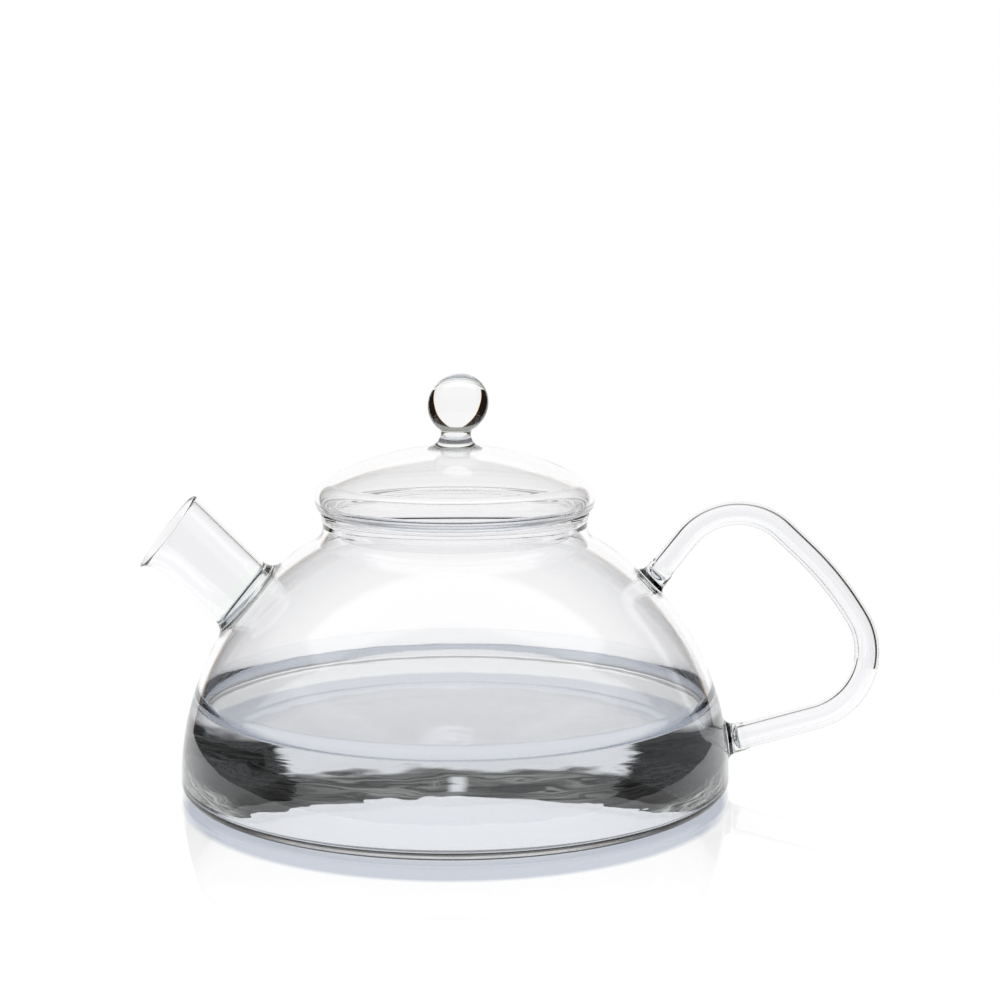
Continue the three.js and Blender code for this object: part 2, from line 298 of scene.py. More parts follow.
def grid_normals(points):
    """Normals of a grid of rows by columns, from its own slopes."""
    along = distance_along(points[:, 0])
    down = np.gradient(points, along, axis=0, edge_order=2 if len(points) > 2 else 1)
    across = np.roll(points, -1, axis=1) - np.roll(points, 1, axis=1)
    normal = np.cross(across, down)
    size = np.linalg.norm(normal, axis=2, keepdims=True)
    return normal / np.maximum(size, 1e-15)


def line_normals(points):
    """Normals on the right of a flat run of points, from its slopes."""
    way = np.gradient(points, distance_along(points), axis=0, edge_order=2)
    way /= np.linalg.norm(way, axis=1)[:, None]
    return np.stack([way[:, 1], -way[:, 0]], 1)


# ---- The dome, with places where tubes join it ----

PATCH_MARGIN = 3  # grid cells round a loop that are filled with triangles instead
NEAR_LOOP = 0.45 * STEP  # grid points nearer to a loop than this are left out
ANGLE_MARGIN = 1.0001  # keeps rounding errors from adding a row

dome_centre = np.array([0, BASE_CORNER])
dome_point = np.array([0, 0, BASE_CORNER])
ring_angle = np.arange(SMALL_COLUMNS) * 2 * math.pi / SMALL_COLUMNS


class Branch:
    """The frame of a tube that leaves the dome in the plane of spout and handle."""

    def __init__(self, origin, way):
        self.origin = np.array([origin[0], 0, origin[1]])
        self.way = np.array([way[0], 0, way[1]]) / np.hypot(*way)
        self.side = np.array([0, 1, 0])
        self.up = np.cross(self.side, self.way)
        offset = dome_point - self.origin
        self.centre_up, self.centre_way = offset @ self.up, offset @ self.way

    def point(self, up, side, along):
        """Points by their distances in the branch's three directions."""
        flat = up[..., None] * self.up + side[..., None] * self.side
        return self.origin + flat + along[..., None] * self.way

    def place(self, radius, angle, along):
        """Points on rings round the branch: any shapes that broadcast together."""
        radius, angle, along = np.broadcast_arrays(radius, angle, along)
        return self.point(radius * np.cos(angle), radius * np.sin(angle), along)

    def fillet(self, tube, dome, radius, steps):
        """The rounding between the tube and a ball of the dome: from the ball (row 0) to the tube.

        Gives the rows, and how far along the branch each point of the last row is."""
        angle = ring_angle
        reach = tube + radius
        out2 = (reach * np.cos(angle) - self.centre_up) ** 2 + (reach * np.sin(angle)) ** 2
        height = self.centre_way + np.sqrt((dome + radius) ** 2 - out2)
        centre = self.place(reach, angle, height)
        to_ball = dome_point - centre
        to_ball /= np.linalg.norm(to_ball, axis=1)[:, None]
        to_tube = (self.place(tube, angle, height) - centre) / radius
        swing = np.arccos(np.clip(np.sum(to_ball * to_tube, 1), -1, 1))[:, None]
        rows = []
        for t in np.linspace(0, 1, steps):
            mix = np.sin((1 - t) * swing) * to_ball + np.sin(t * swing) * to_tube
            rows.append(centre + radius * mix / np.sin(swing))
        return np.array(rows), height


def inside_loop(flat, loop):
    """Which flat points lie inside a closed flat loop."""
    inside = np.zeros(len(flat), bool)
    for (x0, y0), (x1, y1) in zip(loop, np.roll(loop, -1, axis=0)):
        crosses = (y0 > flat[:, 1]) != (y1 > flat[:, 1])
        with np.errstate(divide="ignore", invalid="ignore"):
            x = x0 + (flat[:, 1] - y0) * (x1 - x0) / (y1 - y0)
        inside ^= crosses & (flat[:, 0] < x)
    return inside


def dome_band(skin, radius, start, end, slot, joins=()):
    """A band of the dome between two heights, with loops cut out or marked as fused.

    joins holds (loop points, slot of the faces inside the loop, or None for a hole)."""
    length = abs(end - start) * radius
    count = int(length / STEP) + 2
    surface = revolve(arc(dome_centre, radius, start, end, length / (count - 1) * ANGLE_MARGIN))
    skip = np.zeros((count - 1, ROUND_COLUMNS), bool)
    for loop, inner_slot in joins:
        fill_join(skin, radius, np.linspace(start, end, count), skip, loop, slot, inner_slot)
    skin.strip(surface, slot, skip)


def fill_join(skin, radius, angles, skip, loop, slot, inner_slot):
    """Joins a loop on the dome to the regular grid round it with triangles."""
    inward = angles[-1] < angles[0]
    order = angles[::-1] if inward else angles
    middle, turn, rise = place_on_ball(loop, radius)
    scale = radius * math.cos(rise.mean())
    flat_loop = np.stack([turn * scale, rise * radius], 1)
    column_turn = 2 * math.pi / ROUND_COLUMNS
    low = max(0, np.searchsorted(order, rise.min()) - 1 - PATCH_MARGIN)
    high = min(len(order) - 1, np.searchsorted(order, rise.max()) + PATCH_MARGIN)
    first = int(math.floor((middle + turn.min()) / column_turn)) - PATCH_MARGIN
    last = int(math.ceil((middle + turn.max()) / column_turn)) + PATCH_MARGIN
    names = np.array([(i, j) for i in range(low, high + 1) for j in range(first, last + 1)])
    flat = np.stack([(names[:, 1] * column_turn - middle) * scale, order[names[:, 0]] * radius], 1)
    keep = np.min(np.linalg.norm(flat[:, None] - flat_loop[None], axis=2), axis=1) >= NEAR_LOOP
    if inner_slot is None:
        keep &= ~inside_loop(flat, flat_loop)
    names, flat = names[keep], np.vstack([flat[keep], flat_loop])
    number = {tuple(name): i for i, name in enumerate(names.tolist())}
    border = [number[name] for name in border_names(low, high, first, last)]
    triangles = fill_between(flat, border, list(range(len(names), len(flat))))
    inner = inside_loop(flat[triangles].mean(1), flat_loop)

    grid = on_ball(radius, order[names[:, 0]], (names[:, 1] % ROUND_COLUMNS) * column_turn)
    points = np.vstack([grid, loop])
    normals = (points - dome_point) / radius * (-1 if inward else 1)
    if inward:
        triangles = triangles[:, ::-1]
    skin.add(points, normals, triangles[~inner].tolist(), slot)
    if inner_slot is not None:
        skin.add(points, normals, triangles[inner].tolist(), inner_slot)
    for i in range(low, high):
        skip[-1 - i if inward else i, np.arange(first, last) % ROUND_COLUMNS] = True


def place_on_ball(loop, radius):
    """Longitude of a loop's middle, and the longitude from there and latitude of each of its points."""
    out = loop - dome_point
    middle = math.atan2(out[:, 1].mean(), out[:, 0].mean())
    turn = np.arctan2(out[:, 1], out[:, 0]) - middle
    return middle, (turn + math.pi) % (2 * math.pi) - math.pi, np.arcsin(out[:, 2] / radius)


def border_names(low, high, first, last):
    """Row and column of the grid points round a patch, one after the other."""
    bottom = [(low, j) for j in range(first, last)]
    right = [(i, last) for i in range(low, high)]
    top = [(high, j) for j in range(last, first, -1)]
    left = [(i, first) for i in range(high, low, -1)]
    return bottom + right + top + left


def fill_between(flat, border, hole):
    """Triangles between flat points that keep the edges of two closed rings of them."""
    edges = [edge for ring in (border, hole) for edge in zip(ring, ring[1:] + ring[:1])]
    spread_out = [Vector(point / MM) for point in flat]
    _, _, faces, source, _, _ = delaunay_2d_cdt(spread_out, edges, [], 0, 1e-7)
    return np.array([[source[k][0] for k in face] for face in faces])


def on_ball(radius, rise, turn):
    """Points of a ball of the dome at a latitude and longitude."""
    ring = radius * np.cos(rise)
    return np.stack([ring * np.cos(turn), ring * np.sin(turn), radius * np.sin(rise)], 1) + dome_point


def cap_on_dome(skin, radius, loop):
    """The hidden face on the dome inside a loop, from its middle out to the loop."""
    middle = (loop - dome_point).mean(0)
    middle /= np.linalg.norm(middle)
    ring = (loop - dome_point) / radius
    t = np.linspace(1, 0, 9)[:, None, None]
    rows = (1 - t) * ring + t * middle
    skin.fused_strip(dome_point + radius * rows / np.linalg.norm(rows, axis=2, keepdims=True))


def fused_ring(skin, start, end):
    """The hidden face between two rings."""
    skin.fused_strip(np.stack([start, end]))


# ---- Materials ----


class Wiring:
    """Short ways to place and wire arithmetic nodes. A value is a number or another node's output."""

    def __init__(self, tree):
        self.nodes, self.links = tree.nodes, tree.links

    def feed(self, socket, value):
        if isinstance(value, (int, float)):
            socket.default_value = value
        else:
            self.links.new(value, socket)

    def math(self, operation, *values):
        node = self.nodes.new("ShaderNodeMath")
        node.operation = operation
        for socket, value in zip(node.inputs, values):
            self.feed(socket, value)
        return node.outputs[0]

    def chain(self, operation, values):
        result = values[0]
        for value in values[1:]:
            result = self.math(operation, result, value)
        return result

    def plus(self, *values):
        return self.chain("ADD", values)

    def minus(self, value, less):
        return self.math("SUBTRACT", value, less)

    def times(self, *values):
        return self.chain("MULTIPLY", values)

    def size(self, value):
        return self.math("ABSOLUTE", value)

    def largest(self, a, b):
        return self.math("MAXIMUM", a, b)

    def above(self, value, limit):
        """1 where the value is over the limit, and 0 elsewhere."""
        return self.math("GREATER_THAN", value, limit)

    def below(self, value, limit):
        """1 where the value is under the limit, and 0 elsewhere."""
        return self.math("LESS_THAN", value, limit)

    def ramp(self, value, start, end):
        """0 before start, 1 past end, straight between. End may be the lower one."""
        node = self.nodes.new("ShaderNodeMapRange")
        self.feed(node.inputs["Value"], value)
        node.inputs["From Min"].default_value = start
        node.inputs["From Max"].default_value = end
        return node.outputs[0]

    def blend(self, factor, low, high):
        """low where factor is 0, high where it is 1."""
        return self.plus(low, self.times(factor, self.minus(high, low)))

    def place(self, kind):
        """The three outputs of a place: "Object", "Camera" and so on."""
        split = self.nodes.new("ShaderNodeSeparateXYZ")
        self.feed(split.inputs[0], self.nodes.new("ShaderNodeTexCoord").outputs[kind])
        return split.outputs

    def path(self, kind):
        """A count of what the light has met: "Ray Depth" and so on."""
        return self.nodes.new("ShaderNodeLightPath").outputs[kind]

    def noise(self, vector, scale, detail):
        node = self.nodes.new("ShaderNodeTexNoise")
        node.inputs["Scale"].default_value = scale
        node.inputs["Detail"].default_value = detail
        self.feed(node.inputs["Vector"], vector)
        return node.outputs["Fac"]

    def emission(self, colour):
        node = self.nodes.new("ShaderNodeEmission")
        self.feed(node.inputs["Color"], colour)
        return node.outputs[0]

    def mix(self, factor, low, high):
        """One shader where factor is 0, another where it is 1."""
        node = self.nodes.new("ShaderNodeMixShader")
        for socket, value in zip(node.inputs, (factor, low, high)):
            self.feed(socket, value)
        return node.outputs[0]

    def colour(self, channels):
        node = self.nodes.new("ShaderNodeCombineColor")
        for socket, value in zip(node.inputs, channels):
            self.feed(socket, value)
        return node.outputs[0]

    def finish(self, shader, kind="Material"):
        self.feed(self.nodes.new(f"ShaderNodeOutput{kind}").inputs["Surface"], shader)


def new_material(name):
    material = bpy.data.materials.new(name)
    material.use_nodes = True
    material.node_tree.nodes.clear()
    return material, Wiring(material.node_tree)


CLEAR_TINT = (0.998, 0.996, 1.0)
# Glass that the water touches is darker and bluer than clear glass: painted shade, standing in for the shade
# seen through the water.
BASE_SHADE_TINT = (0.93, 0.945, 0.965)
WET_SHADE_TINT = (0.85, 0.862, 0.885)
# Nearly black glass on the low edge of the outside corner: painted shade, a dark line where the pot meets the
# floor.
FOOT_SHADE_TINT = (0.16, 0.17, 0.15)
TUBE_TINT = (0.975, 0.975, 0.985)
WELD_TINT = (0.97, 0.985, 0.975)
SOLID_TINT = (0.98, 0.983, 0.98)
WATER_TINT = (0.99, 0.995, 1.0)
TRAPPED_AFTER = 15.5  # surfaces
TRAPPED_LIGHT = (0.40, 0.405, 0.42)
LOW_WAVES_FULL = WATER_LEVEL - 4 * MM
LOW_WAVES_END = WATER_LEVEL + 12 * MM
WAVE_DETAIL = 1.5


def wavy(w, height, size, stretch, low_height):
    """Normals bent by slow waves. stretch makes them flatter, low_height adds to them near the table."""
    mapping = w.nodes.new("ShaderNodeMapping")
    mapping.inputs["Scale"].default_value = (1, 1, stretch)
    w.feed(mapping.inputs["Vector"], w.nodes.new("ShaderNodeTexCoord").outputs["Object"])
    waves = w.noise(mapping.outputs["Vector"], 1 / size, WAVE_DETAIL)
    if low_height:
        low = w.ramp(w.place("Object")[2], LOW_WAVES_END, LOW_WAVES_FULL)
        height = w.plus(height, w.times(low, low_height))
    bump = w.nodes.new("ShaderNodeBump")
    bump.inputs["Strength"].default_value = 1
    bump.inputs["Distance"].default_value = 1
    w.feed(bump.inputs["Height"], w.times(waves, height))
    return bump.outputs["Normal"]


def clear(name, ior, tint, wave=0.0, wave_size=9 * MM, stretch=1.0, low_wave=0.0, trap=False):
    """Clear glass or water with the slow waves of hand work.

    With trap, the glass glows a flat grey where light has met many surfaces: painted light, so that such
    light fades to grey and not to black."""
    material, w = new_material(name)
    shader = w.nodes.new("ShaderNodeBsdfPrincipled")
    shader.inputs["Base Color"].default_value = (*tint, 1)
    shader.inputs["IOR"].default_value = ior
    shader.inputs["Transmission Weight"].default_value = 1
    shader.inputs["Roughness"].default_value = 0
    if wave:
        w.feed(shader.inputs["Normal"], wavy(w, wave, wave_size, stretch, low_wave))
    result = shader.outputs["BSDF"]
    if trap:
        # The glass glows grey here: painted light.
        grey = w.emission(w.colour(TRAPPED_LIGHT))
        result = w.mix(w.above(w.path("Ray Depth"), TRAPPED_AFTER), result, grey)
    w.finish(result)
    return material


def hidden(name):
    """The face where two pieces are fused: light passes it unbent."""
    material, w = new_material(name)
    w.finish(w.nodes.new("ShaderNodeBsdfTransparent").outputs["BSDF"])
    return material


WET_IOR = GLASS_IOR / WATER_IOR
blown = clear("blown_glass", GLASS_IOR, CLEAR_TINT, 0.02 * MM, 22 * MM, stretch=4.0, low_wave=0.025 * MM)
lid_blown = clear("lid_blown_glass", GLASS_IOR, CLEAR_TINT, 0.015 * MM, 20 * MM, stretch=3.0, trap=True)
# Painted shade: the wetted and base glass dim the view through the water.
wetted = clear("wetted_glass", WET_IOR, WET_SHADE_TINT)
base = clear("base_glass", WET_IOR, BASE_SHADE_TINT)
# Painted shade: the nearly black glass of the foot's low edge.
foot = clear("foot_painted_shade_glass", GLASS_IOR, FOOT_SHADE_TINT)
drawn = clear("drawn_tube_glass", GLASS_IOR, TUBE_TINT, 0.012 * MM, 12 * MM)
welded = clear("weld_glass", GLASS_IOR, WELD_TINT, 0.03 * MM, 3 * MM, trap=True)
solid = clear("solid_glass", GLASS_IOR, SOLID_TINT, 0.01 * MM, 10 * MM, trap=True)
water = clear("water", WATER_IOR, WATER_TINT, 0.02 * MM, 30 * MM)
fused = hidden("fused_inside")

# ---- Branch frames and their loops on the dome ----


def spout_frame():
    """The spout's axis passes a little below the dome's centre."""
    way = np.array([-math.cos(SPOUT_ANGLE), math.sin(SPOUT_ANGLE)])
    below = np.array([-math.sin(SPOUT_ANGLE), -math.cos(SPOUT_ANGLE)])
    return Branch(dome_centre + SPOUT_BELOW_CENTRE * below, way)


def foot_frame(angle, bend):
    """One end of the handle, from its foot on the dome towards the nearest bend."""
    foot = dome_centre + DOME * np.array([math.cos(angle), math.sin(angle)])
    return Branch(foot, bend - foot)


spout_branch = spout_frame()
upper_branch = foot_frame(UPPER_FOOT, BENDS[0][0])
lower_branch = foot_frame(LOWER_FOOT, BENDS[2][0])

BORE = SPOUT - SPOUT_WALL
spout_outer, spout_outer_height = spout_branch.fillet(SPOUT, DOME, SPOUT_FILLET, steps=12)
spout_inner, spout_inner_height = spout_branch.fillet(BORE, DOME - WALL, SPOUT_INNER_FILLET, steps=7)
upper_weld, upper_weld_height = upper_branch.fillet(UPPER_WELD, DOME, UPPER_WELD_FILLET, steps=10)
lower_weld, lower_weld_height = lower_branch.fillet(LOWER_WELD, DOME, LOWER_WELD_FILLET, steps=10)

# ---- Pieces of the pot ----


def base_corner(inside, floor):
    """Centre of the rounding above a flat floor inside the dome, and the angle at which it meets the dome."""
    height = floor + BASE_INNER_CORNER
    out = math.sqrt((inside - BASE_INNER_CORNER) ** 2 - (height - BASE_CORNER) ** 2)
    centre = np.array([out, height])
    return centre, heading(dome_centre, centre)


def turned(angle):
    """The direction in which a round stretch runs at an angle, anticlockwise."""
    return np.array([-math.sin(angle), math.cos(angle)])


def neck_outline(fillet, centre, fillet_start):
    """The neck: its rounding outside, up to the bead of the rim, over it and down inside."""
    bead = arc((RIM - RIM_BEAD, RIM_TOP - RIM_BEAD), RIM_BEAD, BEAD_START, BEAD_END, BEAD_STEP)
    inner_fillet = arc(centre, fillet + WALL, math.pi, fillet_start, FINE_STEP)
    return joined(
        arc(centre, fillet, fillet_start, math.pi, FINE_STEP),
        bridge((NECK, NECK_HEIGHT), (0, 1), bead[0, :2], turned(BEAD_START)),
        bead,
        bridge(bead[-1, :2], turned(BEAD_END), inner_fillet[0, :2], (0, -1)),
        inner_fillet,
    )


def build_bowl():
    rise = NECK_HEIGHT - BASE_CORNER
    fillet = (NECK**2 + rise**2 - DOME**2) / (2 * (DOME - NECK))
    neck_centre = np.array([NECK + fillet, NECK_HEIGHT])
    dome_end = heading(dome_centre, neck_centre)
    fillet_start = heading(neck_centre, dome_centre) + 2 * math.pi
    inside = DOME - WALL
    corner, corner_start = base_corner(inside, BASE_GLASS)
    water_line = math.asin((WATER_LEVEL + MENISCUS - BASE_CORNER) / inside)
    foot_centre = (DOME - BASE_CORNER, BASE_CORNER)
    outer_joins = [(spout_outer[0], None), (upper_weld[0], fused), (lower_weld[0], fused)]
    skin = Skin()
    skin.strip(revolve(straight((0, 0), (foot_centre[0], 0), FLAT_STEP)), blown)
    # The low edge of the outside corner is nearly black glass: painted shade.
    skin.strip(revolve(arc(foot_centre, BASE_CORNER, -math.pi / 2, FOOT_EDGE, BEAD_STEP)), foot)
    skin.strip(revolve(arc(foot_centre, BASE_CORNER, FOOT_EDGE, 0, BEAD_STEP)), blown)
    dome_band(skin, DOME, 0, dome_end, blown, outer_joins)
    skin.strip(revolve(neck_outline(fillet, neck_centre, fillet_start)), lid_blown)
    dome_band(skin, inside, dome_end, water_line, blown, [(spout_inner[0], None)])
    dome_band(skin, inside, water_line, corner_start, wetted)
    skin.strip(revolve(arc(corner, BASE_INNER_CORNER, corner_start, -math.pi / 2, CORNER_STEP)), wetted)
    skin.strip(revolve(straight((corner[0], BASE_GLASS), (0, BASE_GLASS), FLAT_STEP)), base)
    fused_ring(skin, spout_outer[0], spout_inner[0])
    skin.build("bowl_glass", "pot", ["bowl"], [blown, lid_blown, wetted, base, foot, fused])


def build_water():
    """The water in the bowl, with its edge drawn up the glass."""
    inside = DOME - WALL - WATER_GAP
    floor = BASE_GLASS + WATER_GAP
    corner, corner_start = base_corner(inside, floor)
    wall_end = math.asin((WATER_LEVEL + MENISCUS - BASE_CORNER) / inside)
    bottom = joined(
        straight((0, floor), (corner[0], floor), FLAT_STEP),
        arc(corner, BASE_INNER_CORNER, -math.pi / 2, corner_start),
    )
    wall = arc(dome_centre, inside, corner_start, wall_end)
    edge = wall[-1, :2]
    flat_end = (edge[0] - MENISCUS_WIDTH, WATER_LEVEL)
    drawn_up = bridge(flat_end, (1, 0), edge, turned(wall_end), count=14)[::-1]
    surface = joined(drawn_up, straight(flat_end, (0, WATER_LEVEL), FLAT_STEP))
    surface[:, 2:] = line_normals(surface[:, :2])
    skin = Skin()
    skin.strip(revolve(bottom), fused)
    skin.strip(revolve(wall), fused)
    skin.strip(revolve(surface), water)
    skin.build("water_fill", "pot", [], [water, fused])


def build_spout():
    """The ring of weld glass on the dome, and the tube with its drawn lip."""
    ring_top = spout_outer_height.max() + SPOUT_RING_ABOVE
    rise = np.linspace(0, 1, 5)[:, None]
    outer_along = spout_outer_height * (1 - rise) + ring_top * rise
    bore_along = spout_inner_height * rise + ring_top * (1 - rise)
    outer = np.vstack([spout_outer, spout_branch.place(SPOUT, ring_angle, outer_along)[1:]])
    bore = np.vstack([spout_branch.place(BORE, ring_angle, bore_along), spout_inner[::-1][1:]])
    skin = Skin()
    skin.shaped_strip(outer, welded)
    fused_ring(skin, outer[-1], bore[0])
    skin.shaped_strip(bore, welded)
    fused_ring(skin, spout_inner[0], spout_outer[0])
    skin.build("spout_weld_glass", "pot", ["spout_weld_ring"], [welded, fused])

    lip_start = SPOUT_REACH - LIP_LENGTH
    rim = SPOUT_WALL / 2
    rim_centre = (SPOUT - rim, SPOUT_REACH - rim)
    outline = joined(
        straight((SPOUT, ring_top), (SPOUT, lip_start)),
        straight((SPOUT, lip_start), (SPOUT, rim_centre[1]), CORNER_STEP),
        arc(rim_centre, rim, 0, math.pi, LIP_STEP),
        straight((BORE, rim_centre[1]), (BORE, lip_start), CORNER_STEP),
        straight((BORE, lip_start), (BORE, ring_top)),
    )
    points = spout_branch.point(*draw_lip(outline[:, :1], outline[:, 1:2], ring_angle[None]))
    skin = Skin()
    skin.shaped_strip(points, drawn)
    fused_ring(skin, points[-1], points[0])
    skin.build("spout_tube_glass", "pot", ["spout_tube"], [drawn, fused])


def draw_lip(radius, along, angle):
    """Bends the underside of the mouth down and back into a lip, and turns the mouth to the camera."""
    up, side = radius * np.cos(angle), radius * np.sin(angle)
    down = (1 - np.cos(angle)) / 2
    mouth = np.maximum(0, 1 - (SPOUT_REACH - along) / LIP_LENGTH) ** MOUTH_CURVE
    back = LIP_SETBACK * down - MOUTH_TURN * side
    return up - LIP_DROP * down**3 * mouth, side, along - back * mouth


def flat_point(branch, along):
    """A point on a branch's axis, in the XZ plane."""
    return (branch.origin + along * branch.way)[[0, 2]]


def handle_line():
    """The handle's centre line in the XZ plane, from the upper weld to the lower one."""
    start = flat_point(upper_branch, WELD_HEIGHT)
    end = flat_point(lower_branch, WELD_HEIGHT)
    corners = [start] + [corner for corner, _ in BENDS] + [end]
    stretches, last = [], start
    for before, (corner, radius), after in zip(corners, BENDS, corners[2:]):
        back = (before - corner) / np.linalg.norm(before - corner)
        ahead = (after - corner) / np.linalg.norm(after - corner)
        half = math.acos(back @ ahead) / 2
        centre = corner + (back + ahead) / np.linalg.norm(back + ahead) * radius / math.sin(half)
        into = corner + back * radius / math.tan(half)
        out = corner + ahead * radius / math.tan(half)
        stretches.append(straight(last, into, FINE_STEP))
        turn_start, turn_end = heading(centre, into), heading(centre, out)
        if turn_end > turn_start:
            turn_end -= 2 * math.pi
        stretches.append(arc(centre, radius, turn_start, turn_end, FINE_STEP))
        last = out
    stretches.append(straight(last, end, FINE_STEP))
    return joined(*stretches)


def tube_rows(line, radius):
    """Rings of points round a centre line in the XZ plane."""
    normal = np.stack([line[:, 2], np.zeros(len(line)), line[:, 3]], 1)
    centre = np.stack([line[:, 0], np.zeros(len(line)), line[:, 1]], 1)
    c, s = np.cos(ring_angle)[None, :, None], np.sin(ring_angle)[None, :, None]
    side = np.array([0.0, 1.0, 0.0])[None, None]
    return centre[:, None] + radius[:, None, None] * (c * normal[:, None] + s * side)


def smooth(t):
    t = np.clip(t, 0, 1)
    return t * t * (3 - 2 * t)


def build_handle():
    line = handle_line()
    along = distance_along(line[:, :2])
    thicker = smooth((along / along[-1] - THICKENING_START) / THICKENING_LENGTH)
    radius = TUBE + TUBE_THICKENING * thicker
    from_ends = np.stack([along, along[-1] - along])
    collars = COLLAR * np.exp(-((from_ends / COLLAR_LENGTH) ** 2)).sum(0)
    outer = tube_rows(line, radius + collars)
    bore = tube_rows(line, radius * BORE_SHARE)[::-1]
    skin = Skin()
    skin.shaped_strip(outer, drawn)
    fused_ring(skin, outer[-1], bore[0])
    skin.shaped_strip(bore, drawn)
    fused_ring(skin, bore[-1], outer[0])
    skin.build("handle_tube_glass", "pot", ["handle_tube"], [drawn, fused])
    build_handle_weld("upper", upper_branch, upper_weld, upper_weld_height, UPPER_WELD, outer[0], bore[-1])
    build_handle_weld("lower", lower_branch, lower_weld, lower_weld_height, LOWER_WELD, outer[-1], bore[0])


def build_handle_weld(where, branch, foot_rows, height, radius, end, bore_end):
    """The flared foot between the dome and one end of the handle, with the bore closed inside it."""
    turn = np.arctan2((end - branch.origin) @ branch.side, (end - branch.origin) @ branch.up)
    order = np.argsort(turn % (2 * math.pi))
    target, bore = end[order], bore_end[order]
    t = smooth(np.linspace(0, 1, WELD_ROWS))[:, None, None]
    side = branch.place(radius, ring_angle, height) * (1 - t) + target * t
    outside = np.vstack([foot_rows, side[1:]])
    middle = bore.mean(0)
    depth = WELD_HEIGHT - WELD_FLOOR
    turn_down = np.linspace(0, math.pi / 2, WELD_ROWS)[:, None, None]
    cavity = middle + np.cos(turn_down) * (bore - middle) - depth * np.sin(turn_down) * branch.way
    skin = Skin()
    skin.shaped_strip(outside, welded)
    fused_ring(skin, target, bore)
    skin.shaped_strip(cavity, welded)
    cap_on_dome(skin, DOME, foot_rows[0])
    name = f"handle_weld_{where}"
    skin.build(name + "_glass", "pot", [name], [welded, fused])


# ---- Pieces of the lid ----

lid_centre = np.array([0, LID_APEX - LID_DOME])


def above_lid_centre(out, reach):
    """The point at a radius from the lid's axis and at a reach from the centre of the lid's dome."""
    return np.array([out, lid_centre[1] + math.sqrt(reach**2 - out**2)])


shoulder_centre = above_lid_centre(LID - LID_SHOULDER, LID_DOME - LID_SHOULDER)
shoulder_end = heading(lid_centre, shoulder_centre)
flare_centre = above_lid_centre(KNOB_NECK + KNOB_FLARE, LID_DOME + KNOB_FLARE)
foot_end = heading(lid_centre, flare_centre)
SKIRT_SPLIT = LID_SEAT - SKIRT_ROUND
SKIRT_INNER = SKIRT_TOP_RADIUS - LID_WALL


def lid_underside():
    """From the fold above the skirt, out along the seat, to the start of the shoulder."""
    fold = arc((SKIRT_TOP_RADIUS + SKIRT_ROUND, SKIRT_SPLIT), SKIRT_ROUND, math.pi, math.pi / 2, EDGE_STEP)
    edge = shoulder_centre + LID_SHOULDER * np.array([math.cos(SHOULDER_START), math.sin(SHOULDER_START)])
    seat_end = (edge[0] - SEAT_ROUNDING, LID_SEAT)
    return joined(
        fold,
        straight(fold[-1, :2], seat_end),
        bridge(seat_end, (1, 0), edge, turned(SHOULDER_START)),
    )


def lid_inside():
    """From the ceiling's middle, round the inside of the shoulder, and down into the skirt."""
    inner_shoulder = LID_SHOULDER - LID_WALL
    shoulder = arc(shoulder_centre, inner_shoulder, shoulder_end, INNER_SHOULDER_END, CORNER_STEP)
    floor = LID_SEAT + LID_WALL
    fold_centre = (SKIRT_INNER + INNER_FOLD, floor - INNER_FOLD)
    seat_edge = (fold_centre[0] + INNER_SEAT, floor)
    return joined(
        arc(lid_centre, LID_DOME - LID_WALL, math.pi / 2, shoulder_end),
        shoulder,
        bridge(shoulder[-1, :2], -turned(INNER_SHOULDER_END), seat_edge, (-1, 0)),
        straight(seat_edge, (fold_centre[0], floor), CORNER_STEP),
        arc(fold_centre, INNER_FOLD, math.pi / 2, math.pi, EDGE_STEP),
        straight((SKIRT_INNER, fold_centre[1]), (SKIRT_INNER, SKIRT_SPLIT), CORNER_STEP),
    )


def build_lid_shell():
    underside = lid_underside()
    outside = joined(
        underside,
        arc(shoulder_centre, LID_SHOULDER, SHOULDER_START, shoulder_end, FINE_STEP),
        arc(lid_centre, LID_DOME, shoulder_end, foot_end),
    )
    under_knob = arc(lid_centre, LID_DOME, foot_end, math.pi / 2)
    skirt_face = straight((SKIRT_INNER, SKIRT_SPLIT), underside[0, :2])
    skin = Skin()
    skin.strip(revolve(outside), lid_blown)
    skin.strip(revolve(under_knob), fused)
    skin.strip(revolve(lid_inside()), lid_blown)
    skin.strip(revolve(skirt_face), fused)
    skin.build("lid_shell_glass", "lid", ["lid_shell"], [lid_blown, fused])


def build_skirt():
    inner_top, outer_top = (SKIRT_INNER, SKIRT_SPLIT), (SKIRT_TOP_RADIUS, SKIRT_SPLIT)
    rim = arc((SKIRT_END_RADIUS - SKIRT_RIM, SKIRT_END + SKIRT_RIM), SKIRT_RIM, -math.pi, 0, EDGE_STEP)
    down = bridge(inner_top, (0, -1), rim[0, :2], (0, -1))
    up = bridge(rim[-1, :2], (0, 1), outer_top, (0, 1))
    skin = Skin()
    skin.strip(revolve(joined(down, rim, up)), lid_blown)
    skin.strip(revolve(straight(outer_top, inner_top)), fused)
    skin.build("lid_skirt_glass", "lid", ["lid_skirt"], [lid_blown, fused])


def leaning(outline):
    """A turned surface of the hand-set knob, which leans with its height above the lid."""
    points, normals = revolve(outline, SMALL_COLUMNS)
    foot_height = lid_centre[1] + LID_DOME * math.sin(foot_end)
    slope = BALL_SIDE / (BALL_CENTRE - foot_height)
    points[..., 0] += slope * np.maximum(0, points[..., 2] - foot_height)
    return points, normals


